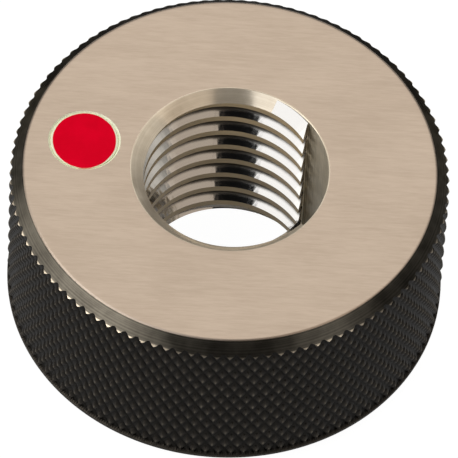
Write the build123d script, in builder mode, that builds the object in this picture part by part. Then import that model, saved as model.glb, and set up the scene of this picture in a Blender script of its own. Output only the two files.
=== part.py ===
from build123d import *
import os
from math import ceil, pi, radians, tan

# A not-go thread ring gauge for M20 x 2.5: one hardened steel ring with a right-hand internal thread,
# and a red enamel mark let into its top face. The origin is the centre of the bottom face, +Z is up.

# ---- Driving dimensions, in millimetres and degrees ----

# Ring blank
ring_diameter = 45.0
ring_height = 20.8
rim_chamfer = 1.5

# Diamond knurl of the rim, coarser than the real one so that each of its teeth can be a plain solid form
knurl_teeth = 74
knurl_depth = 0.45
knurl_helix_angle = 30.0

# Internal thread. A not-go ring has its crests cut back, so the groove is shallower than the basic profile.
thread_major_diameter = 20.0
thread_depth = 1.25
thread_pitch = 2.5
thread_angle = 60.0
thread_root_flat = 0.3125
thread_start_angle = 338.0

# Countersinks that lead the work into the thread, the same at both ends, a little wider than its roots
mouth_clearance = 0.15
mouth_angle = 120.0

# Chip groove, milled the full length of the bore, just past the thread's roots
groove_clearance = 0.05
groove_spread_angle = 68.0
groove_corner_radius = 0.4

# Red enamel mark, laid in a round recess of the top face, a share of the way from the mouth to the chamfer
mark_diameter = 6.9
mark_face_share = 0.466
mark_angle = 170.5
mark_recess_depth = 0.4
mark_below_face = 0.05
mark_edge_break = 0.15

# How far cutters run past the surface that they cut
overrun = 0.25

# ---- Sizes that follow ----

root_radius = thread_major_diameter / 2
bore_radius = root_radius - thread_depth
mouth_radius = root_radius + mouth_clearance
face_radius = ring_diameter / 2 - rim_chamfer
mark_distance = mouth_radius + mark_face_share * (face_radius - mouth_radius)
flank_slope = tan(radians(thread_angle / 2))
mouth_slope = tan(radians(mouth_angle / 2))
knurl_pitch = pi * ring_diameter / knurl_teeth
half_row = knurl_pitch / tan(radians(knurl_helix_angle)) / 2
half_rows = 2 * ceil(ring_height / 2 / half_row)
half_columns = 2 * knurl_teeth


def groove_half_width(radius):
    """Half the width of the thread's V-groove at this distance from the axis."""
    return thread_root_flat / 2 + (root_radius - radius) * flank_slope


def knurl_corner(column, row):
    """A corner of the facets: a tooth's tip where column and row add up to odd, else a groove crossing."""
    is_tip = (column + row) % 2 == 1
    radius = ring_diameter / 2 if is_tip else ring_diameter / 2 - knurl_depth
    height = ring_height / 2 + (row - half_rows / 2) * half_row
    return Vector(radius, 0, height).rotate(Axis.Z, column * 360 / half_columns)


def knurl_facets(column, row):
    """The two flat flanks that meet in the groove between two crossings, each running up to a tooth's tip."""
    corners = [knurl_corner(column + right, row + up) for right, up in ((0, 0), (1, 0), (1, 1), (0, 1))]
    if (column + row) % 2 == 1:
        corners = corners[1:] + corners[:1]
    crossing, tip, next_crossing, next_tip = corners
    flank = Face(Wire.make_polygon([crossing, tip, next_crossing]))
    next_flank = Face(Wire.make_polygon([crossing, next_crossing, next_tip]))
    return [flank, next_flank]


# ---- Knurled bar, a little longer than the ring, from which the rim takes its surface ----

knurl_faces = []
for row in range(half_rows):
    for column in range(half_columns):
        knurl_faces += knurl_facets(column, row)
for end_row in (0, half_rows):
    end_corners = [knurl_corner(column, end_row) for column in range(half_columns)]
    knurl_faces.append(Face(Wire.make_polygon(end_corners)))
knurled_bar = Solid(Shell(knurl_faces))


# ---- Ring ----

with BuildPart() as ring_body:
    # Chamfered blank, bored to the crests of the thread, with a flat just clear of each half tooth
    with BuildSketch(Plane.XY):
        RegularPolygon(ring_diameter / 2 + overrun, side_count=half_columns)
        Circle(bore_radius, mode=Mode.SUBTRACT)
    extrude(amount=ring_height)
    outer_rims = ring_body.edges().filter_by(GeomType.LINE).filter_by(Plane.XY)
    chamfer(outer_rims, length=rim_chamfer + overrun)

    # Thread: a V with a flat root, carried up a right-hand helix from below the bottom face to above the top
    with BuildLine(Plane.XY.rotated((0, 0, thread_start_angle))) as thread_path:
        Helix(
            pitch=thread_pitch,
            height=ring_height + 2 * thread_pitch,
            radius=bore_radius,
            center=(0, 0, -thread_pitch),
        )
    helix = thread_path.edge()
    helix_start = helix @ 0
    outwards = Vector(helix_start.X, helix_start.Y, 0)
    with BuildSketch(Plane(origin=helix_start, x_dir=outwards, z_dir=helix % 0)):
        with BuildLine():
            mouth_half_width = groove_half_width(bore_radius - overrun)
            root_half_width = groove_half_width(root_radius)
            Polyline(
                (-overrun, -mouth_half_width),
                (thread_depth, -root_half_width),
                (thread_depth, root_half_width),
                (-overrun, mouth_half_width),
                close=True,
            )
        make_face()
    sweep(path=helix, is_frenet=True, mode=Mode.SUBTRACT)

    # Countersinks: each cone starts at the mouth and runs on to inside the bore
    for face_plane in (Plane.XY.offset(ring_height), Plane.XY.rotated((180, 0, 0))):
        with Locations(face_plane):
            Cone(
                bottom_radius=bore_radius - overrun,
                top_radius=mouth_radius,
                height=(mouth_radius - bore_radius + overrun) / mouth_slope,
                align=(Align.CENTER, Align.CENTER, Align.MAX),
                mode=Mode.SUBTRACT,
            )

    # Chip groove: a sector of the bore on the +X side, with rounded corners along its floor
    with BuildSketch(Plane.XY) as groove_section:
        with BuildLine():
            floor_radius = root_radius + groove_clearance
            floor = CenterArc((0, 0), floor_radius, -groove_spread_angle / 2, groove_spread_angle)
            Polyline(floor @ 1, (0, 0), floor @ 0)
        make_face()
        fillet(groove_section.vertices().sort_by(Axis.X)[-2:], radius=groove_corner_radius)
    extrude(amount=ring_height, mode=Mode.SUBTRACT)

    # Knurl, which the rim chamfers cut off at both ends
    add(knurled_bar, mode=Mode.INTERSECT)

    # Flat-bottomed recess for the enamel, with a broken edge
    with Locations(Plane.XY.offset(ring_height)):
        with PolarLocations(mark_distance, 1, start_angle=mark_angle):
            Hole(radius=mark_diameter / 2, depth=mark_recess_depth)
    recess_rim = ring_body.edges(Select.LAST).filter_by(GeomType.CIRCLE).sort_by(Axis.Z)[-1]
    chamfer(recess_rim, length=mark_edge_break)

ring_body.part.label = "ring_body"

# ---- Red mark ----

with BuildPart() as red_mark:
    with BuildSketch(Plane.XY.offset(ring_height - mark_recess_depth)):
        with PolarLocations(mark_distance, 1, start_angle=mark_angle):
            Circle(mark_diameter / 2)
    extrude(amount=mark_recess_depth - mark_below_face)

red_mark.part.label = "red_mark"

# ---- Output ----

os.makedirs("parts", exist_ok=True)
export_step(ring_body.part, "parts/ring_body.step")
export_step(red_mark.part, "parts/red_mark.step")
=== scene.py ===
"""Looks of the thread ring gauge: knurled rim, lapped faces, bright thread and a red enamel mark."""

import logging
import math
from dataclasses import dataclass
from enum import Enum, IntEnum
from typing import Iterable, Mapping, Sequence, Union

import bmesh
import bpy
from mathutils import Matrix, Vector, noise

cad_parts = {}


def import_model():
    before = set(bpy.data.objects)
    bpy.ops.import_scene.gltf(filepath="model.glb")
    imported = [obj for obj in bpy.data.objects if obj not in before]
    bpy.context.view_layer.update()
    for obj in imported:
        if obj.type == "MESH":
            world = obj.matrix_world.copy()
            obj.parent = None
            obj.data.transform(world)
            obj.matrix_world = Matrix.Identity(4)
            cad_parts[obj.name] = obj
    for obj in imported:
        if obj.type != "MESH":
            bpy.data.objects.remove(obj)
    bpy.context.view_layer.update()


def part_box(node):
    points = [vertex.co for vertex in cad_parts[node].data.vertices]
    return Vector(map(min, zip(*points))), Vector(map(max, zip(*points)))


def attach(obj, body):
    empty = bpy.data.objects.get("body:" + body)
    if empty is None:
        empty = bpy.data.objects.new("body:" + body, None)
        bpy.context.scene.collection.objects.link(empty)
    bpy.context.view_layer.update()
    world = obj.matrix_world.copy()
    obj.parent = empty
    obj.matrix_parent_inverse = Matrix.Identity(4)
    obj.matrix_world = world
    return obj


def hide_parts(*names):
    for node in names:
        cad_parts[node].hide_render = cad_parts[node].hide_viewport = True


LOG = logging.getLogger("thread_ring_gauge")
METRES_PER_MM = 0.001
ORIGIN = (0.0, 0.0, 0.0)
UPWARDS = (0.0, 0.0, 1.0)
STILL = (0.0, 0.0, 0.0)
RING_MIDDLE = (0.0, 0.0, 0.0104)
WELD_DISTANCE = 1e-4
RED_MARGIN = 0.06
WARM_WHITE = (1.0, 0.96, 0.90)

Colour = tuple[float, float, float]
Scale = tuple[float, float, float]
Span = tuple[float, float]
Operand = Union["Signal", float]
Setting = Union["Signal", float, Sequence[float]]


class Zone(IntEnum):
    """Finishes of the steel ring, in the order of its material slots."""

    LAPPED = 0
    CHAMFER = 1
    KNURL = 2
    FLANK = 3
    CREST = 4
    MOUTH = 5
    CHIP_GROOVE = 6
    RECESS = 7


class RingEnd(Enum):
    """The two ends of the ring, with the direction that each faces along the axis."""

    BOTTOM = -1
    TOP = 1


# ---- Shader maths ----


class Signal:
    """An output socket that takes part in Python expressions, which add Math nodes."""

    def __init__(self, graph: "Graph", socket: bpy.types.NodeSocket) -> None:
        """Wraps a socket.

        Args:
            graph: The graph that the socket belongs to.
            socket: The output socket.
        """
        self.graph = graph
        self.socket = socket

    def _math(self, operation: str, *operands: Operand, clamp: bool = False) -> "Signal":
        """Adds a Math node.

        Args:
            operation: Name of the Math node's operation.
            operands: Its inputs in order.
            clamp: Whether the result is held between 0 and 1.

        Returns:
            The node's output.
        """
        settings = {"operation": operation, "use_clamp": clamp}
        return self.graph.node("ShaderNodeMath", settings, dict(enumerate(operands)))

    def __add__(self, other: Operand) -> "Signal":
        """Sum."""
        return self._math("ADD", self, other)

    def __radd__(self, other: Operand) -> "Signal":
        """Sum with a number on the left."""
        return self._math("ADD", other, self)

    def __sub__(self, other: Operand) -> "Signal":
        """Difference."""
        return self._math("SUBTRACT", self, other)

    def __rsub__(self, other: Operand) -> "Signal":
        """Difference from a number on the left."""
        return self._math("SUBTRACT", other, self)

    def __mul__(self, other: Operand) -> "Signal":
        """Product."""
        return self._math("MULTIPLY", self, other)

    def __rmul__(self, other: Operand) -> "Signal":
        """Product with a number on the left."""
        return self._math("MULTIPLY", other, self)

    def __truediv__(self, other: Operand) -> "Signal":
        """Quotient."""
        return self._math("DIVIDE", self, other)

    def clamped(self) -> "Signal":
        """Holds the value between 0 and 1."""
        return self._math("ADD", self, 0.0, clamp=True)

    def ramp(self, start: float, end: float) -> "Signal":
        """Rises smoothly from 0 to 1 between two values.

        Args:
            start: Value where the result is 0.
            end: Value where the result is 1.

        Returns:
            The smooth step.
        """
        settings = {"interpolation_type": "SMOOTHSTEP", "clamp": True}
        values = {"Value": self, "From Min": start, "From Max": end}
        return self.graph.node("ShaderNodeMapRange", settings, values)


class Graph:
    """A node tree that is filled from Python expressions."""

    def __init__(self, tree: bpy.types.NodeTree) -> None:
        """Empties a node tree and takes it over.

        Args:
            tree: The tree of a material or of the world.
        """
        self.tree = tree
        tree.nodes.clear()

    def node(
        self,
        kind: str,
        settings: Mapping[str, object] | None = None,
        values: Mapping[str | int, Setting] | None = None,
        output: str | int = 0,
    ) -> Signal:
        """Adds a node, sets it up and joins its inputs.

        Args:
            kind: The node's type.
            settings: Properties of the node, set before its sockets are filled.
            values: Constants or signals for its inputs, by identifier, name or number.
            output: Identifier, name or number of the output that is returned.

        Returns:
            The chosen output.
        """
        made = self.tree.nodes.new(kind)
        for name, value in (settings or {}).items():
            setattr(made, name, value)
        for key, value in (values or {}).items():
            socket = self._socket(made.inputs, key)
            if isinstance(value, Signal):
                self.tree.links.new(value.socket, socket)
            else:
                socket.default_value = value
        return Signal(self, self._socket(made.outputs, output))

    @staticmethod
    def _socket(sockets: Iterable[bpy.types.NodeSocket], key: str | int) -> bpy.types.NodeSocket:
        """Finds a socket.

        Args:
            sockets: The node's inputs or outputs.
            key: Identifier, name or number.

        Returns:
            The socket.
        """
        if isinstance(key, int):
            return sockets[key]
        return next(s for s in sockets if key in (s.identifier, s.name))

    def blend(self, factor: Operand, first: Setting, second: Setting) -> Signal:
        """Mixes two colours.

        Args:
            factor: 0 gives the first colour and 1 the second.
            first: First colour, as a signal or as red, green and blue.
            second: Second colour, likewise.

        Returns:
            The mixed colour.
        """
        values = {"Factor_Float": factor, "A_Color": opaque(first), "B_Color": opaque(second)}
        return self.node("ShaderNodeMix", {"data_type": "RGBA"}, values, "Result_Color")

    def place(self) -> Signal:
        """Object coordinates, in metres."""
        return self.node("ShaderNodeTexCoord", output="Object")

    def stretched(self, vector: Signal, per_metre: Sequence[float]) -> Signal:
        """Scales a vector along each axis.

        Args:
            vector: The vector.
            per_metre: Factor for X, Y and Z.

        Returns:
            The scaled vector.
        """
        return self.node("ShaderNodeVectorMath", {"operation": "MULTIPLY"}, {0: vector, 1: per_metre})

    def grain(self, vector: Signal, detail: float = 2.0, roughness: float = 0.5) -> Signal:
        """Noise between 0 and 1.

        Args:
            vector: Where it is read, with one unit for each feature.
            detail: Number of finer layers.
            roughness: Strength of the finer layers.

        Returns:
            The noise value.
        """
        values = {"Vector": vector, "Scale": 1.0, "Detail": detail, "Roughness": roughness}
        return self.node("ShaderNodeTexNoise", None, values, "Fac")

    def speckle(self, per_metre: float | Scale, detail: float = 2.0, roughness: float = 0.5) -> Signal:
        """Noise over the surface.

        Args:
            per_metre: Number of features in a metre, the same all ways or along X, Y and Z.
            detail: Number of finer layers.
            roughness: Strength of the finer layers.

        Returns:
            The noise value.
        """
        scale = (per_metre,) * 3 if isinstance(per_metre, float) else per_metre
        return self.grain(self.stretched(self.place(), scale), detail, roughness)

    def turned_lines(self, radius: Signal, per_metre: float) -> Signal:
        """Fine lines that run round the axis.

        Args:
            radius: Distance from the axis, in metres.
            per_metre: Number of lines in a metre.

        Returns:
            The noise value.
        """
        return self.grain(self.node("ShaderNodeCombineXYZ", None, {"X": radius * per_metre}))

    def parts(self, vector: Signal) -> tuple[Signal, Signal, Signal]:
        """Splits a vector.

        Args:
            vector: The vector.

        Returns:
            Its X, Y and Z.
        """
        split = self.node("ShaderNodeSeparateXYZ", None, {"Vector": vector})
        outputs = split.socket.node.outputs
        return Signal(self, outputs[0]), Signal(self, outputs[1]), Signal(self, outputs[2])

    def length(self, vector: Signal) -> Signal:
        """Measures a vector.

        Args:
            vector: The vector.

        Returns:
            Its length.
        """
        return self.node("ShaderNodeVectorMath", {"operation": "LENGTH"}, {0: vector}, "Value")

    def around(self, centre: Sequence[float], stretch: Span = (1.0, 1.0)) -> Signal:
        """Distance from an upright axis.

        Args:
            centre: A point of the axis, in metres.
            stretch: Weight of the distance along X and Y, for an oval.

        Returns:
            The distance, in metres.
        """
        offset = self.node("ShaderNodeVectorMath", {"operation": "SUBTRACT"}, {0: self.place(), 1: centre})
        return self.length(self.stretched(offset, (*stretch, 0.0)))

    def bump(self, height: Signal, distance: float) -> Signal:
        """Turns a height into a normal.

        Args:
            height: Height between 0 and 1.
            distance: What a height of 1 stands for, in metres.

        Returns:
            The normal.
        """
        values = {"Height": height, "Distance": distance, "Strength": 1.0}
        return self.node("ShaderNodeBump", None, values, "Normal")

    def finish(self, shader: Signal, target: str = "ShaderNodeOutputMaterial") -> None:
        """Joins a shader to the tree's output.

        Args:
            shader: The last shader.
            target: Type of the output node.
        """
        made = self.tree.nodes.new(target)
        self.tree.links.new(shader.socket, made.inputs["Surface"])

    def surface(self, values: Mapping[str | int, Setting]) -> None:
        """Ends the tree in a Principled shader.

        Args:
            values: Constants or signals for its inputs.
        """
        self.finish(self.node("ShaderNodeBsdfPrincipled", None, values))


def opaque(colour: Union[Signal, Colour]) -> Setting:
    """Gives a plain colour full alpha.

    Args:
        colour: A signal, or red, green and blue.

    Returns:
        The signal as it was, or the colour with its alpha.
    """
    return colour if isinstance(colour, Signal) else (*colour, 1.0)


def new_material(name: str) -> tuple[bpy.types.Material, Graph]:
    """Makes an empty material.

    Args:
        name: Its name.

    Returns:
        The material and its graph.
    """
    material = bpy.data.materials.new(name)
    material.use_nodes = True
    return material, Graph(material.node_tree)


# ---- Finishes, with lengths in metres ----


@dataclass(frozen=True)
class LappedSteel:
    """Flat face ground and lapped along X, with fine straight scratches."""

    pale: Colour = (0.535, 0.442, 0.366)
    dark: Colour = (0.450, 0.365, 0.296)
    smoothest: float = 0.30
    roughest: float = 0.40
    scratch_depth: float = 0.6e-6
    fine_scale: Scale = (700.0, 9000.0, 700.0)
    broad_scale: Scale = (260.0, 2600.0, 260.0)
    cloud_scale: Scale = (110.0, 190.0, 110.0)
    wear_scale: Scale = (220.0, 900.0, 220.0)
    fine_share: float = 0.40
    broad_share: float = 0.30
    cloud_share: float = 0.30
    contrast: Span = (0.30, 0.70)

    def material(self) -> bpy.types.Material:
        """Builds the finish."""
        material, graph = new_material("lapped_steel")
        fine = graph.speckle(self.fine_scale, detail=3.0, roughness=0.6)
        broad = graph.speckle(self.broad_scale, detail=3.0)
        cloud = graph.speckle(self.cloud_scale, detail=3.0)
        wear = graph.speckle(self.wear_scale, detail=3.0)
        streaks = fine * self.fine_share + broad * self.broad_share + cloud * self.cloud_share
        values = {
            "Base Color": graph.blend(streaks.ramp(*self.contrast), self.dark, self.pale),
            "Metallic": 1.0,
            "Roughness": self.smoothest + (self.roughest - self.smoothest) * wear,
            "Normal": graph.bump(fine + broad * 0.5, self.scratch_depth),
        }
        graph.surface(values)
        return material


@dataclass(frozen=True)
class TurnedSteel:
    """Machined steel with a light mottle and fine lines, which run round the axis or along it."""

    name: str
    pale: Colour
    dark: Colour
    metallic: float
    roughness: float
    roughness_spread: float = 0.06
    line_share: float = 0.5
    along_axis: bool = False
    line_depth: float = 1.0e-6
    lines_per_metre: float = 9000.0
    mottles_per_metre: float = 400.0
    contrast: Span = (0.32, 0.68)

    def _across(self, graph: Graph) -> dict[str, Signal]:
        """Finds the place across the lines.

        Args:
            graph: The finish's graph.

        Returns:
            The place, counted in lines, as the inputs of a Combine XYZ node.
        """
        _, sideways, height = graph.parts(graph.place())
        if self.along_axis:
            return {"X": sideways * self.lines_per_metre}
        return {"X": graph.around(ORIGIN) * self.lines_per_metre, "Y": height * self.lines_per_metre}

    def material(self) -> bpy.types.Material:
        """Builds the finish."""
        material, graph = new_material(self.name)
        lines = graph.grain(graph.node("ShaderNodeCombineXYZ", None, self._across(graph)))
        mottle = graph.speckle(self.mottles_per_metre, detail=4.0, roughness=0.6)
        shade = lines * self.line_share + mottle * (1.0 - self.line_share)
        values = {
            "Base Color": graph.blend(shade.ramp(*self.contrast), self.dark, self.pale),
            "Metallic": self.metallic,
            "Roughness": self.roughness + mottle * self.roughness_spread,
            "Normal": graph.bump(lines, self.line_depth),
        }
        graph.surface(values)
        return material


@dataclass(frozen=True)
class BlackOxideChamfer:
    """Turned chamfer under black oxide, rubbed bare where it meets the knurl."""

    outer_radius: float
    pale: Colour = (0.15, 0.138, 0.115)
    dark: Colour = (0.055, 0.050, 0.042)
    bare: Colour = (0.80, 0.70, 0.56)
    metallic: float = 0.95
    roughness: float = 0.26
    roughness_spread: float = 0.14
    grazing_tint: float = 0.1
    lines_per_metre: float = 9000.0
    mottles_per_metre: float = 400.0
    line_depth: float = 3.0e-6
    contrast: Span = (0.32, 0.68)
    rub_start: float = 2.6e-4
    rub_end: float = 0.8e-4
    rub_wander: float = 3.0e-4

    def material(self) -> bpy.types.Material:
        """Builds the finish."""
        material, graph = new_material("black_oxide_chamfer")
        radius = graph.around(ORIGIN)
        lines = graph.turned_lines(radius, self.lines_per_metre)
        mottle = graph.speckle(self.mottles_per_metre, detail=4.0, roughness=0.6)
        shade = (lines * 0.5 + mottle * 0.5).ramp(*self.contrast)
        outwards = radius + (mottle - 0.5) * self.rub_wander
        rubbed = outwards.ramp(self.outer_radius - self.rub_start, self.outer_radius - self.rub_end)
        values = {
            "Base Color": graph.blend(rubbed, graph.blend(shade, self.dark, self.pale), self.bare),
            "Metallic": self.metallic,
            "Roughness": self.roughness + mottle * self.roughness_spread,
            "Specular Tint": opaque((self.grazing_tint,) * 3),
            "Normal": graph.bump(lines, self.line_depth),
        }
        graph.surface(values)
        return material


@dataclass(frozen=True)
class GroundFlanks:
    """Thread flanks, polished by use near the crests and at both ends, and rougher towards the roots, where
    painted shade darkens their colour away from the ends.
    """

    polished_unshaded_radius: float
    rough_shaded_radius: float
    ring_height: float
    lead_in: float
    pale: Colour = (0.57, 0.55, 0.525)
    # colour of the painted shade that darkens the flanks towards the roots
    painted_root_shade: Colour = (0.15, 0.135, 0.115)
    smoothest: float = 0.07
    roughest: float = 0.42
    line_roughness: float = 0.04
    lines_per_metre: float = 16000.0
    mottles_per_metre: float = 700.0
    line_depth: float = 4.0e-7
    depth_wander: float = 2.0e-4
    lead_in_start: float = 0.4

    def material(self) -> bpy.types.Material:
        """Builds the finish."""
        material, graph = new_material("ground_flanks")
        height = graph.parts(graph.place())[2]
        radius = graph.around(ORIGIN)
        lines = graph.turned_lines(radius, self.lines_per_metre)
        mottle = graph.speckle(self.mottles_per_metre, detail=3.0)
        # Painted shade: the colour darkens towards the roots, away from both ends of the bore, and the same
        # ramp makes the flanks rougher there.
        depth = (radius + (mottle - 0.5) * self.depth_wander).ramp(self.polished_unshaded_radius, self.rough_shaded_radius)
        lead_in = (self.lead_in * self.lead_in_start, self.lead_in)
        roughening_and_painted_shade = depth * height.ramp(*lead_in) * (self.ring_height - height).ramp(*lead_in)
        roughness = self.smoothest + (self.roughest - self.smoothest) * roughening_and_painted_shade
        values = {
            "Base Color": graph.blend(roughening_and_painted_shade, self.pale, self.painted_root_shade),
            "Metallic": 1.0,
            "Roughness": roughness + lines * self.line_roughness,
            "Normal": graph.bump(lines, self.line_depth),
        }
        graph.surface(values)
        return material


@dataclass(frozen=True)
class BlackOxideKnurl:
    """Knurl under black oxide, handled until its tips show paler metal, and bare along its top edge."""

    tip_radius: float
    valley_radius: float
    top_edge: float
    land_edge: float
    deep: Colour = (0.009, 0.008, 0.007)
    flank: Colour = (0.056, 0.049, 0.041)
    tip: Colour = (0.22, 0.19, 0.145)
    bare: Colour = (0.62, 0.53, 0.43)
    metallic: float = 0.85
    roughness: float = 0.42
    roughness_spread: float = 0.16
    worn_polish: float = 0.1
    grazing_tint: float = 0.8
    grains_per_metre: float = 900.0
    grain_depth: float = 6.0e-6
    handling_scale: Scale = (90.0, 90.0, 140.0)
    handling_least: float = 0.25
    land_fade: float = 5.0e-4
    rub_below_edge: float = 5.0e-4
    rub_above_edge: float = 1.0e-4
    worn_rise: Span = (0.72, 1.0)
    rubbed_rise: Span = (0.55, 0.95)
    tone_rise: Span = (0.15, 0.95)

    def material(self) -> bpy.types.Material:
        """Builds the finish."""
        material, graph = new_material("black_oxide_knurl")
        height = graph.parts(graph.place())[2]
        radius = graph.around(ORIGIN)
        rise = ((radius - self.valley_radius) / (self.tip_radius - self.valley_radius)).clamped()
        mottle = graph.speckle(self.grains_per_metre, detail=4.0, roughness=0.65)
        handled = self.handling_least + graph.speckle(self.handling_scale)
        clear_of_land = height.ramp(self.land_edge, self.land_edge + self.land_fade)
        worn = (rise.ramp(*self.worn_rise) * handled * clear_of_land).clamped()
        at_edge = height.ramp(self.top_edge - self.rub_below_edge, self.top_edge + self.rub_above_edge)
        tone = (rise * 0.8 + mottle * 0.35).ramp(*self.tone_rise)
        oxide = graph.blend(worn, graph.blend(tone, self.deep, self.flank), self.tip)
        values = {
            "Base Color": graph.blend(at_edge * rise.ramp(*self.rubbed_rise), oxide, self.bare),
            "Metallic": self.metallic,
            "Roughness": self.roughness + mottle * self.roughness_spread - worn * self.worn_polish,
            "Specular Tint": opaque((self.grazing_tint,) * 3),
            "Normal": graph.bump(mottle, self.grain_depth),
        }
        graph.surface(values)
        return material


@dataclass(frozen=True)
class Undercoat:
    """Pale primer that shows on the broken edge of the recess, round the enamel."""

    pale: Colour = (0.96, 0.98, 0.78)
    dark: Colour = (0.84, 0.87, 0.68)
    roughness: float = 0.5
    roughness_spread: float = 0.1
    mottles_per_metre: float = 1400.0
    grain_depth: float = 4.0e-6
    contrast: Span = (0.3, 0.7)

    def material(self) -> bpy.types.Material:
        """Builds the finish."""
        material, graph = new_material("pale_undercoat")
        mottle = graph.speckle(self.mottles_per_metre, detail=3.0)
        values = {
            "Base Color": graph.blend(mottle.ramp(*self.contrast), self.dark, self.pale),
            "Roughness": self.roughness + mottle * self.roughness_spread,
            "Normal": graph.bump(mottle, self.grain_depth),
        }
        graph.surface(values)
        return material


@dataclass(frozen=True)
class RedEnamel:
    """Matt enamel, laid a little oval, with a margin of its pale undercoat round it."""

    centre: Vector
    red_radius: float
    red: Colour = (0.84, 0.0, 0.022)
    deep_red: Colour = (0.76, 0.0, 0.018)
    undercoat: Colour = (0.92, 0.95, 0.74)
    roughness: float = 0.6
    roughness_spread: float = 0.08
    sheen_level: float = 0.02
    oval: Span = (1.06, 1.0)
    mottles_per_metre: float = 420.0
    wanders_per_metre: float = 900.0
    edge_wander: float = 1.2e-4
    edge_fade: float = 8.0e-5
    grain_depth: float = 4.0e-6
    contrast: Span = (0.3, 0.7)

    def material(self) -> bpy.types.Material:
        """Builds the finish."""
        material, graph = new_material("red_enamel")
        mottle = graph.speckle(self.mottles_per_metre, detail=3.0)
        wander = graph.speckle(self.wanders_per_metre)
        edge = graph.around(self.centre, self.oval) + (wander - 0.5) * self.edge_wander
        margin = edge.ramp(self.red_radius, self.red_radius + self.edge_fade)
        coat = graph.blend(mottle.ramp(*self.contrast), self.deep_red, self.red)
        values = {
            "Base Color": graph.blend(margin, coat, self.undercoat),
            "Roughness": self.roughness + mottle * self.roughness_spread,
            "Specular IOR Level": self.sheen_level,
            "Normal": graph.bump(mottle, self.grain_depth),
        }
        graph.surface(values)
        return material


# ---- Mesh helpers ----


def spin_about_axis(bm: bmesh.types.BMesh, outline: Sequence[Span], steps: int) -> None:
    """Turns a closed outline once round the Z axis.

    Args:
        bm: The mesh that takes the result.
        outline: Points of the half section as radius and height, in order.
        steps: Number of segments round the axis.
    """
    points = [bm.verts.new((radius, 0.0, height)) for radius, height in outline]
    edges = [bm.edges.new(pair) for pair in zip(points, points[1:] + points[:1])]
    bmesh.ops.spin(
        bm,
        geom=points + edges,
        cent=ORIGIN,
        axis=UPWARDS,
        dvec=STILL,
        angle=math.tau,
        steps=steps,
        use_merge=True,
        use_duplicate=False,
    )


def turned_solid(outline: Sequence[Span], steps: int, centre: Vector) -> bmesh.types.BMesh:
    """Turns an outline that touches its own axis into a closed solid.

    Args:
        outline: Points of the half section as radius and height, in order.
        steps: Number of segments round the axis.
        centre: A point of the upright axis.

    Returns:
        The solid's mesh.
    """
    bm = bmesh.new()
    spin_about_axis(bm, outline, steps)
    bmesh.ops.remove_doubles(bm, verts=bm.verts[:], dist=WELD_DISTANCE)
    loose = [edge for edge in bm.edges if not edge.link_faces]
    bmesh.ops.delete(bm, geom=loose, context="EDGES")
    bmesh.ops.recalc_face_normals(bm, faces=bm.faces[:])
    bmesh.ops.translate(bm, verts=bm.verts[:], vec=(centre.x, centre.y, 0.0))
    return bm


def paint(faces: Iterable[bmesh.types.BMFace], zone: Zone) -> None:
    """Gives faces a finish.

    Args:
        faces: The faces.
        zone: Their finish.
    """
    for face in faces:
        face.material_index = zone


def new_piece(name: str, bm: bmesh.types.BMesh) -> bpy.types.Object:
    """Makes an object of a mesh and frees the bmesh.

    Args:
        name: The object's name.
        bm: Its mesh.

    Returns:
        The object, linked to the scene.
    """
    mesh = bpy.data.meshes.new(name)
    bm.to_mesh(mesh)
    bm.free()
    piece = bpy.data.objects.new(name, mesh)
    bpy.context.scene.collection.objects.link(piece)
    return piece


def discard(piece: bpy.types.Object) -> None:
    """Removes an object and its mesh.

    Args:
        piece: The object.
    """
    mesh = piece.data
    bpy.data.objects.remove(piece)
    bpy.data.meshes.remove(mesh)


def carve(body: bpy.types.Object, cutters: Sequence[bpy.types.Object]) -> bmesh.types.BMesh:
    """Cuts cutters out of a body, and discards them all.

    Args:
        body: The solid that is cut.
        cutters: The closed solids that are taken away, in order.

    Returns:
        The cut mesh.
    """
    for cutter in cutters:
        cut = body.modifiers.new(cutter.name, "BOOLEAN")
        cut.operation = "DIFFERENCE"
        cut.solver = "EXACT"
        cut.object = cutter
        cut.material_mode = "INDEX"
    bpy.context.view_layer.update()
    shown = body.evaluated_get(bpy.context.evaluated_depsgraph_get())
    bm = bmesh.new()
    bm.from_mesh(shown.to_mesh())
    shown.to_mesh_clear()
    for spent in [body, *cutters]:
        discard(spent)
    return bm


def crease(bm: bmesh.types.BMesh, degrees: float) -> None:
    """Shades a mesh smooth, apart from the edges that turn sharply.

    Args:
        bm: The mesh.
        degrees: Turn from which an edge is sharp.
    """
    for face in bm.faces:
        face.smooth = True
    for edge in bm.edges:
        edge.smooth = len(edge.link_faces) == 2 and edge.calc_face_angle(0.0) < math.radians(degrees)


# ---- Steel ring ----


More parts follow.
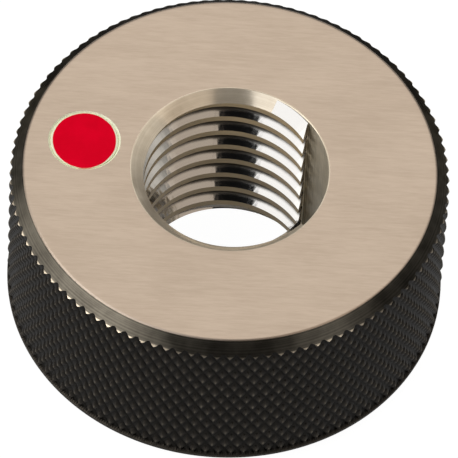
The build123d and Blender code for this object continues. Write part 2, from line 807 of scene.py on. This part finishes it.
@dataclass
class KnurledRim:
    """Diamond knurl of the rim, in millimetres. It is laid out flat, cut by the chamfers and rolled up.

    Flat, X is the angle round the axis, Y the height and Z the distance from the axis. The knurl ends in a
    narrow plain land above the bottom chamfer.
    """

    tip_radius: float
    blank_radius: float
    height: float
    chamfer: float
    teeth: int = 108
    helix_degrees: float = 30.0
    depth: float = 0.40
    flank_share: float = 0.42
    steps_per_tooth: int = 5
    rows: int = 44
    turn: float = -0.36
    lift: float = 0.28
    unevenness: float = 0.035
    uneven_patches: float = 9.0
    patch_rise: float = 0.08
    land: float = 0.35
    land_radius: float = 22.46
    cut_tolerance: float = 1e-6

    @property
    def row_height(self) -> float:
        """Height of one row of the flat sheet."""
        along_rim = math.tau * self.blank_radius / self.teeth
        return along_rim / math.tan(math.radians(self.helix_degrees)) / self.steps_per_tooth

    def fall(self, across: float, up: float) -> float:
        """How far the knurl lies below its tips.

        Args:
            across: Place round the rim, in teeth.
            up: Place along the axis, in teeth.

        Returns:
            The fall, in millimetres.
        """
        crossings = (across + up + self.turn, across - up - self.lift)
        fills = [1.0 - abs(place - round(place)) / self.flank_share for place in crossings]
        return self.depth * max(0.0, *fills)

    def build(self, bm: bmesh.types.BMesh) -> None:
        """Adds the knurl to a mesh as an open tube with a toothed edge at each end.

        Args:
            bm: The mesh that takes it.
        """
        columns = self.teeth * self.steps_per_tooth
        sheet = bmesh.new()
        bmesh.ops.create_grid(sheet, x_segments=columns, y_segments=self.rows, size=1.0)
        bmesh.ops.poke(sheet, faces=sheet.faces[:])
        for vertex in sheet.verts:
            across = vertex.co.x * self.teeth / 2
            up = vertex.co.y * self.rows / 2 / self.steps_per_tooth
            angle = vertex.co.x * math.pi
            spot = Vector((math.cos(angle), math.sin(angle), up * self.patch_rise)) * self.uneven_patches
            worn = self.unevenness * (0.5 + 0.5 * noise.noise(spot))
            level = self.tip_radius - worn - self.fall(across, up) * (1.0 - 2.0 * worn)
            height = self.height / 2 + up * self.steps_per_tooth * self.row_height
            if height < self.chamfer + self.land:
                level = self.land_radius
            vertex.co = (angle, height, level)
        for end in RingEnd:
            rim = self.height / 2 + end.value * (self.height / 2 - self.chamfer)
            bmesh.ops.bisect_plane(
                sheet,
                geom=sheet.verts[:] + sheet.edges[:] + sheet.faces[:],
                dist=self.cut_tolerance,
                plane_co=(0.0, rim, self.blank_radius),
                plane_no=(0.0, float(end.value), 1.0),
                clear_outer=True,
            )
        for vertex in sheet.verts:
            angle, height, radius = vertex.co
            vertex.co = (radius * math.cos(angle), radius * math.sin(angle), height)
        bmesh.ops.remove_doubles(sheet, verts=sheet.verts[:], dist=WELD_DISTANCE)
        paint(sheet.faces, Zone.KNURL)
        rolled = bpy.data.meshes.new("rolled_knurl")
        sheet.to_mesh(rolled)
        sheet.free()
        bm.from_mesh(rolled)
        bpy.data.meshes.remove(rolled)


@dataclass
class ThreadGroove:
    """Groove of the right-hand thread, in millimetres."""

    root_radius: float = 10.0
    crest_radius: float = 8.75
    pitch: float = 2.5
    root_flat: float = 0.3125
    flank_degrees: float = 30.0
    start_degrees: float = 299.0
    inside: float = 0.3
    steps_per_turn: int = 96

    def half_width(self, radius: float) -> float:
        """Finds half the groove's width.

        Args:
            radius: Distance from the axis.

        Returns:
            Half the width there.
        """
        return self.root_flat / 2 + (self.root_radius - radius) * math.tan(math.radians(self.flank_degrees))

    def cutter(self, height: float) -> bpy.types.Object:
        """Builds the solid that cuts the groove.

        Args:
            height: Height of the ring.

        Returns:
            The cutter, which runs on one pitch past each end.
        """
        bm = bmesh.new()
        inner = self.crest_radius - self.inside
        outline = [
            (inner, -self.half_width(inner)),
            (self.root_radius, -self.half_width(self.root_radius)),
            (self.root_radius, self.half_width(self.root_radius)),
            (inner, self.half_width(inner)),
        ]
        corners = [bm.verts.new((radius, 0.0, rise - self.pitch)) for radius, rise in outline]
        first = bm.faces.new(corners)
        turns = (height + 2 * self.pitch) / self.pitch
        steps = round(turns * self.steps_per_turn)
        start = Matrix.Rotation(math.radians(self.start_degrees), 4, "Z")
        bmesh.ops.transform(bm, matrix=start, verts=bm.verts[:])
        bmesh.ops.spin(
            bm,
            geom=[first],
            cent=ORIGIN,
            axis=UPWARDS,
            dvec=(0.0, 0.0, turns * self.pitch / steps),
            angle=math.tau * turns,
            steps=steps,
            use_merge=False,
            use_duplicate=False,
        )
        loose_end = [edge for edge in bm.edges if edge.is_boundary]
        bmesh.ops.holes_fill(bm, edges=loose_end, sides=8)
        bmesh.ops.triangulate(bm, faces=bm.faces[:])
        bmesh.ops.recalc_face_normals(bm, faces=bm.faces[:])
        paint(bm.faces, Zone.FLANK)
        return new_piece("thread_cutter", bm)


@dataclass
class ChipGroove:
    """Milled groove in the bore on the +X side, in millimetres.

    Its walls meet at the apex, inside the bore.
    """

    floor_radius: float = 10.05
    spread_degrees: float = 81.0
    apex_distance: float = 6.2
    corner_radius: float = 0.4
    corner_segments: int = 6
    overrun: float = 1.0
    steps: int = 74

    def cutter(self, height: float) -> bpy.types.Object:
        """Builds the solid that cuts the groove.

        Args:
            height: Height of the ring.

        Returns:
            The cutter, which runs past both ends.
        """
        bm = bmesh.new()
        start = bm.verts.new((self.floor_radius, 0.0, -self.overrun))
        half = math.radians(self.spread_degrees / 2)
        bmesh.ops.rotate(bm, verts=[start], cent=ORIGIN, matrix=Matrix.Rotation(-half, 3, "Z"))
        bmesh.ops.spin(
            bm,
            geom=[start],
            cent=ORIGIN,
            axis=UPWARDS,
            dvec=STILL,
            angle=2 * half,
            steps=self.steps,
            use_merge=False,
            use_duplicate=False,
        )
        floor_corners = [vertex for vertex in bm.verts if len(vertex.link_edges) == 1]
        apex = bm.verts.new((self.apex_distance, 0.0, -self.overrun))
        for corner in floor_corners:
            bm.edges.new((apex, corner))
        bmesh.ops.contextual_create(bm, geom=bm.edges[:])
        bmesh.ops.bevel(
            bm,
            geom=floor_corners,
            offset=self.corner_radius,
            affect="VERTICES",
            segments=self.corner_segments,
            profile=0.5,
            material=-1,
        )
        grown = bmesh.ops.extrude_face_region(bm, geom=bm.faces[:])
        top = [item for item in grown["geom"] if isinstance(item, bmesh.types.BMVert)]
        bmesh.ops.translate(bm, verts=top, vec=(0.0, 0.0, height + 2 * self.overrun))
        bmesh.ops.recalc_face_normals(bm, faces=bm.faces[:])
        paint(bm.faces, Zone.CHIP_GROOVE)
        return new_piece("chip_groove_cutter", bm)


@dataclass
class MarkRecess:
    """Round recess of the enamel mark with its broken edge, in millimetres."""

    centre: Vector
    radius: float
    face_height: float
    depth: float = 0.4
    edge_break: float = 0.26
    overrun: float = 0.5
    steps: int = 128

    def cutter(self) -> bpy.types.Object:
        """Builds the solid that cuts the recess."""
        top = self.face_height + self.overrun
        widest = self.radius + self.edge_break + self.overrun
        outline = [
            (0.0, self.face_height - self.depth),
            (self.radius, self.face_height - self.depth),
            (self.radius, self.face_height - self.edge_break),
            (widest, top),
            (0.0, top),
        ]
        bm = turned_solid(outline, self.steps, self.centre)
        paint(bm.faces, Zone.RECESS)
        return new_piece("mark_recess_cutter", bm)


@dataclass
class GaugeRing:
    """The one-piece steel ring, in millimetres."""

    rim: KnurledRim
    thread: ThreadGroove
    groove: ChipGroove
    recess: MarkRecess
    height: float
    mouth_radius: float = 10.15
    mouth_degrees: float = 60.0
    rim_break: float = 0.16
    mouth_break: float = 0.10
    wall_inset: float = 0.4
    loop_gap: float = 0.2
    crease_degrees: float = 24.0
    steps: int = 360

    @property
    def face_radius(self) -> float:
        """Radius where the flat faces meet the rim chamfer."""
        return self.rim.blank_radius - self.rim.chamfer

    def outline(self) -> list[tuple[float, float]]:
        """Half section inside the knurl, with the crests as a plain bore.

        Returns:
            Radius and height of each point, from the top chamfer round to the bottom one.
        """
        inset = self.rim_break * 1.5 + self.loop_gap
        cone = (self.mouth_radius - self.thread.crest_radius) / math.tan(math.radians(self.mouth_degrees))
        upper = [
            (self.face_radius + self.wall_inset, self.height - self.wall_inset),
            (self.face_radius, self.height),
            (self.face_radius - inset, self.height),
            (self.mouth_radius + inset, self.height),
            (self.mouth_radius, self.height),
            (self.thread.crest_radius, self.height - cone),
        ]
        return upper + [(radius, self.height - height) for radius, height in reversed(upper)]

    def core(self) -> bpy.types.Object:
        """Builds the turned ring inside the knurl, with rounded rims."""
        bm = bmesh.new()
        spin_about_axis(bm, self.outline(), self.steps)
        bmesh.ops.recalc_face_normals(bm, faces=bm.faces[:])
        self._round_rims(bm, self.face_radius, self.rim_break)
        self._round_rims(bm, self.mouth_radius, self.mouth_break)
        for face in bm.faces:
            face.material_index = self._zone(face)
        return new_piece("ring_core", bm)

    def _round_rims(self, bm: bmesh.types.BMesh, radius: float, offset: float) -> None:
        """Rounds the rims of this radius on both faces.

        Args:
            bm: The turned ring.
            radius: Radius of the rims.
            offset: How far the rounding reaches on each side.
        """

        def on_rim(vertex: bmesh.types.BMVert) -> bool:
            """Whether a vertex lies on one of the two rims."""
            off_face = min(abs(vertex.co.z), abs(vertex.co.z - self.height))
            return off_face < 1e-4 and abs(vertex.co.xy.length - radius) < 1e-3

        rims = [edge for edge in bm.edges if all(on_rim(vertex) for vertex in edge.verts)]
        bmesh.ops.bevel(
            bm,
            geom=rims,
            offset=offset,
            affect="EDGES",
            segments=3,
            profile=0.5,
            material=-1,
        )

    def _zone(self, face: bmesh.types.BMFace) -> Zone:
        """Finish of a face of the turned ring.

        Args:
            face: The face.

        Returns:
            Its finish. The outer wall, which the knurl replaces, is marked as knurl.
        """
        radius = face.calc_center_median().xy.length
        upright = abs(face.normal.z) < 0.01
        if upright and radius > self.face_radius:
            return Zone.KNURL
        if upright:
            return Zone.CREST
        if radius > self.face_radius + self.rim_break * 0.5:
            return Zone.CHAMFER
        if radius > self.mouth_radius + self.mouth_break * 0.2:
            return Zone.LAPPED
        return Zone.MOUTH

    def build(self, materials: Sequence[bpy.types.Material]) -> bpy.types.Object:
        """Builds the whole ring.

        Args:
            materials: One material for each zone, in order.

        Returns:
            The finished piece.
        """
        cutters = [self.thread.cutter(self.height), self.groove.cutter(self.height), self.recess.cutter()]
        bm = carve(self.core(), cutters)
        bmesh.ops.remove_doubles(bm, verts=bm.verts[:], dist=2e-4)
        bmesh.ops.dissolve_degenerate(bm, edges=bm.edges[:], dist=1e-3)
        wall = [face for face in bm.faces if face.material_index == Zone.KNURL]
        bmesh.ops.delete(bm, geom=wall, context="FACES")
        self.rim.build(bm)
        middle = self.height / 2
        for end in RingEnd:
            outer = [e for e in bm.edges if e.is_boundary and e.verts[0].co.xy.length > self.face_radius]
            rims = [edge for edge in outer if (edge.verts[0].co.z - middle) * end.value > 0]
            bridged = bmesh.ops.bridge_loops(bm, edges=rims)
            paint(bridged["faces"], Zone.CHAMFER)
        bmesh.ops.remove_doubles(bm, verts=bm.verts[:], dist=1e-5)
        bmesh.ops.recalc_face_normals(bm, faces=bm.faces[:])
        crease(bm, self.crease_degrees)
        open_edges = sum(1 for edge in bm.edges if not edge.is_manifold)
        LOG.info("ring: %d triangles, %d open edges", sum(len(f.verts) - 2 for f in bm.faces), open_edges)
        bmesh.ops.scale(bm, vec=(METRES_PER_MM,) * 3, verts=bm.verts[:])
        piece = new_piece("steel_ring", bm)
        for material in materials:
            piece.data.materials.append(material)
        return piece


# ---- Enamel mark ----


@dataclass
class EnamelMark:
    """Enamel laid in its recess, slightly crowned and drawn down at its edge, in millimetres."""

    centre: Vector
    radius: float
    floor_height: float
    edge_height: float
    crown: float = 0.02
    edge_roll: float = 0.12
    rings: int = 8
    steps: int = 128
    crease_degrees: float = 35.0

    def outline(self) -> list[tuple[float, float]]:
        """Half section of the enamel, from the middle of its top to the middle of its floor."""
        flat = self.radius - self.edge_roll
        top = [
            (flat * step / self.rings, self.edge_height + self.crown * (1.0 - (step / self.rings) ** 2))
            for step in range(self.rings + 1)
        ]
        drop = self.edge_roll * 0.5
        roll = [
            (flat + self.edge_roll * math.sin(turn), self.edge_height - drop * (1.0 - math.cos(turn)))
            for turn in (math.pi / 6, math.pi / 3, math.pi / 2)
        ]
        return top + roll + [(self.radius, self.floor_height), (0.0, self.floor_height)]

    def build(self, material: bpy.types.Material) -> bpy.types.Object:
        """Builds the enamel.

        Args:
            material: Its finish.

        Returns:
            The finished piece.
        """
        bm = turned_solid(self.outline(), self.steps, self.centre)
        crease(bm, self.crease_degrees)
        bmesh.ops.scale(bm, vec=(METRES_PER_MM,) * 3, verts=bm.verts[:])
        piece = new_piece("enamel_mark", bm)
        piece.data.materials.append(material)
        return piece


# ---- Studio ----


@dataclass(frozen=True)
class Softbox:
    """A rectangular lamp that faces the ring."""

    name: str
    toward: tuple[float, float, float]
    distance: float
    width: float
    height: float
    radiance: float
    colour: Colour
    turn_degrees: float = 0.0

    def build(self, target: Vector) -> None:
        """Adds the lamp.

        Args:
            target: The point that it faces, in metres.
        """
        lamp = bpy.data.lights.new(self.name, "AREA")
        lamp.shape = "RECTANGLE"
        lamp.size = self.width
        lamp.size_y = self.height
        lamp.energy = self.radiance * math.pi * self.width * self.height
        lamp.color = self.colour
        holder = bpy.data.objects.new(self.name, lamp)
        direction = Vector(self.toward).normalized()
        facing = (-direction).to_track_quat("-Z", "Y").to_matrix()
        turned = facing @ Matrix.Rotation(math.radians(self.turn_degrees), 3, "Z")
        holder.matrix_world = Matrix.Translation(target + direction * self.distance) @ turned.to_4x4()
        bpy.context.scene.collection.objects.link(holder)


@dataclass(frozen=True)
class StudioCamera:
    """The camera, with its places in millimetres."""

    place: tuple[float, float, float] = (0.0, -489.82, 712.59)
    aim: tuple[float, float, float] = (0.23, 0.0, 10.07)
    roll: float = 0.0577
    lens: float = 655.1
    sensor_width: float = 36.0
    clip_end: float = 50.0

    def build(self) -> None:
        """Adds the camera and makes it the scene's."""
        data = bpy.data.cameras.new("studio_camera")
        data.lens = self.lens
        data.sensor_width = self.sensor_width
        data.clip_end = self.clip_end
        camera = bpy.data.objects.new("studio_camera", data)
        start = Vector(self.place) * METRES_PER_MM
        end = Vector(self.aim) * METRES_PER_MM
        level = (end - start).to_track_quat("-Z", "Y").to_matrix()
        tilted = level @ Matrix.Rotation(self.roll, 3, "Z")
        camera.matrix_world = Matrix.Translation(start) @ tilted.to_4x4()
        bpy.context.scene.collection.objects.link(camera)
        bpy.context.scene.camera = camera


@dataclass
class Studio:
    """White table, soft lamps, a quiet room and the camera."""

    lamps: Sequence[Softbox]
    camera: StudioCamera
    table_half_width: float = 4.0
    table_glow: float = 0.97
    table_in_metal: float = 0.5
    table_grey: float = 0.12
    room_bright: Colour = (1.3, 1.25, 1.16)
    room_dark: Colour = (0.006, 0.006, 0.006)
    room_depth: Span = (-0.12, 0.22)
    room_height: Span = (0.12, 0.98)

    def _table(self) -> None:
        """Adds the white table, which keeps a faint shadow."""
        bm = bmesh.new()
        bmesh.ops.create_grid(bm, x_segments=8, y_segments=8, size=self.table_half_width)
        table = new_piece("table", bm)
        material, graph = new_material("white_table")
        rays = graph.node("ShaderNodeLightPath").socket.node.outputs
        reflected = Signal(graph, rays["Is Glossy Ray"]) * self.table_in_metal
        seen = Signal(graph, rays["Is Camera Ray"]) + reflected + Signal(graph, rays["Is Transmission Ray"])
        matt = graph.node("ShaderNodeBsdfDiffuse", None, {"Color": opaque((self.table_grey,) * 3)})
        glow = graph.node("ShaderNodeEmission", None, {"Strength": seen.clamped() * self.table_glow})
        graph.finish(graph.node("ShaderNodeAddShader", None, {0: matt, 1: glow}))
        table.data.materials.append(material)

    def _room(self) -> None:
        """Lights the scene from the room, which is bright high up behind the ring and dark elsewhere."""
        world = bpy.data.worlds.new("room")
        bpy.context.scene.world = world
        world.use_nodes = True
        graph = Graph(world.node_tree)
        way = graph.node("ShaderNodeTexCoord", output="Generated")
        _, depth, height = graph.parts(way)
        lit = depth.ramp(*self.room_depth) * height.ramp(*self.room_height)
        colour = graph.blend(lit, self.room_dark, self.room_bright)
        graph.finish(graph.node("ShaderNodeBackground", None, {"Color": colour}), "ShaderNodeOutputWorld")

    def build(self, target: Vector) -> None:
        """Adds everything.

        Args:
            target: The point that the lamps face, in metres.
        """
        self._table()
        self._room()
        for lamp in self.lamps:
            lamp.build(target)
        self.camera.build()
        bpy.context.scene.view_settings.view_transform = "Standard"


# ---- Assembly ----


def corners(box: tuple[Vector, Vector]) -> list[list[float]]:
    """Writes a box as plain lists.

    Args:
        box: Its lowest and highest corner.

    Returns:
        The same two corners.
    """
    return [list(map(float, corner)) for corner in box]


def main() -> None:
    """Builds the ring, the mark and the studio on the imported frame."""
    logging.basicConfig(level=logging.INFO, format="%(name)s: %(message)s")
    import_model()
    ring_low, ring_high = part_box("ring_body")
    mark_low, mark_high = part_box("red_mark")
    height = (ring_high.z - ring_low.z) / METRES_PER_MM
    mark_centre = (mark_low + mark_high) / 2
    mark_centre_mm = mark_centre / METRES_PER_MM
    mark_radius = (mark_high.x - mark_low.x) / 2 / METRES_PER_MM

    rim = KnurledRim(tip_radius=22.485, blank_radius=22.5, height=height, chamfer=1.5)
    finishes = [
        LappedSteel().material(),
        BlackOxideChamfer(outer_radius=rim.tip_radius * METRES_PER_MM).material(),
        BlackOxideKnurl(
            tip_radius=rim.tip_radius * METRES_PER_MM,
            valley_radius=(rim.tip_radius - rim.depth) * METRES_PER_MM,
            top_edge=(height - rim.chamfer) * METRES_PER_MM,
            land_edge=(rim.chamfer + rim.land) * METRES_PER_MM,
        ).material(),
        # The flanks' colour carries painted shade towards the thread roots.
        GroundFlanks(
            polished_unshaded_radius=9.15e-3,
            rough_shaded_radius=9.62e-3,
            ring_height=height * METRES_PER_MM,
            lead_in=1.4e-3,
        ).material(),
        TurnedSteel(
            name="dull_crests", pale=(0.64, 0.50, 0.30), dark=(0.50, 0.38, 0.21), metallic=0.2,
            roughness=0.36,
        ).material(),
        TurnedSteel(
            name="turned_countersinks", pale=(0.80, 0.71, 0.58), dark=(0.58, 0.50, 0.39), metallic=0.6,
            roughness=0.11, roughness_spread=0.08,
        ).material(),
        TurnedSteel(
            name="milled_chip_groove", pale=(0.80, 0.72, 0.58), dark=(0.34, 0.31, 0.24), metallic=0.35,
            roughness=0.34, roughness_spread=0.1, line_share=0.75, along_axis=True,
        ).material(),
        Undercoat().material(),
    ]
    ring = GaugeRing(
        rim=rim,
        thread=ThreadGroove(),
        groove=ChipGroove(),
        recess=MarkRecess(centre=mark_centre_mm, radius=mark_radius, face_height=height),
        height=height,
    ).build(finishes)
    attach(ring, "root")
    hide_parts("ring_body")
    LOG.info("steel ring is in place")

    mark = EnamelMark(
        centre=mark_centre_mm,
        radius=mark_radius,
        floor_height=mark_low.z / METRES_PER_MM,
        edge_height=mark_high.z / METRES_PER_MM,
    ).build(RedEnamel(centre=mark_centre, red_radius=(mark_radius - RED_MARGIN) * METRES_PER_MM).material())
    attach(mark, "root")
    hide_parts("red_mark")
    LOG.info("enamel mark is in place")

    lamps = [
        Softbox(
            name="window_left", toward=(-0.512, -0.154, 0.845), distance=1.0, width=0.78, height=0.60,
            radiance=1.65, colour=(0.98, 0.99, 1.0), turn_degrees=33.0,
        ),
        Softbox(
            name="fill_right", toward=(0.483, -0.221, 0.829), distance=1.0, width=0.62, height=0.60,
            radiance=0.64, colour=(1.0, 0.86, 0.72), turn_degrees=-33.0,
        ),
        Softbox(
            name="strip_left", toward=(-0.753, -0.470, 0.457), distance=1.2, width=0.9, height=0.36,
            radiance=4.2, colour=WARM_WHITE, turn_degrees=22.0,
        ),
        Softbox(
            name="strip_far_left", toward=(-0.964, 0.10, 0.25), distance=1.2, width=0.6, height=0.30,
            radiance=2.6, colour=WARM_WHITE,
        ),
        Softbox(
            name="strip_right", toward=(0.657, -0.571, 0.489), distance=1.2, width=0.45, height=0.30,
            radiance=1.6, colour=WARM_WHITE,
        ),
        Softbox(
            name="near_back", toward=(0.0, 0.80, 0.60), distance=0.32, width=0.40, height=0.20,
            radiance=0.16, colour=(1.0, 0.97, 0.93),
        ),
    ]
    Studio(lamps=lamps, camera=StudioCamera()).build(Vector(RING_MIDDLE))
    LOG.info("studio is in place")


if __name__ == "__main__":
    main()
